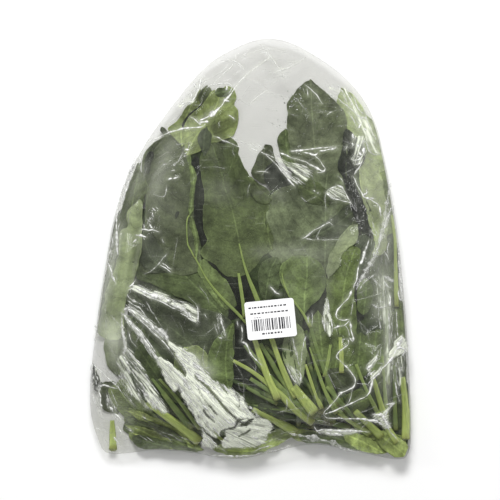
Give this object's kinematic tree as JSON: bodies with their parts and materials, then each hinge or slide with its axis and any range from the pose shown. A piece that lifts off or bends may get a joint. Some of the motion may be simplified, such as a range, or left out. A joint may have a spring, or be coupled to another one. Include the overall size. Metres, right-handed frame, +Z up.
{
  "type": "bag of spinach",
  "caption": "Clear crinkled film bag of large spinach leaves with long stems, lying on its back, with a plain paper label on its front.",
  "frame": {"origin": "on the floor under the middle of the bag's bounding box", "axes": "+Z up, out of the bag's front; +Y towards the bag's closed dome end, away from its foot and the stems; +X to the right seen from above with the dome up"},
  "size_m": [0.264, 0.346, 0.066],
  "materials": {
    "film": "clear thin crinkled film over green leaves",
    "label_paper": "smooth white coated paper with plain dark bars and dashes",
    "leaf": "satin dark green leaf with paler veins and underside",
    "stem": "satin yellow-green grooved stem"
  },
  "bodies": {
    "root": {"bag": "film", "label": "label_paper"}
  },
  "joints": []
}
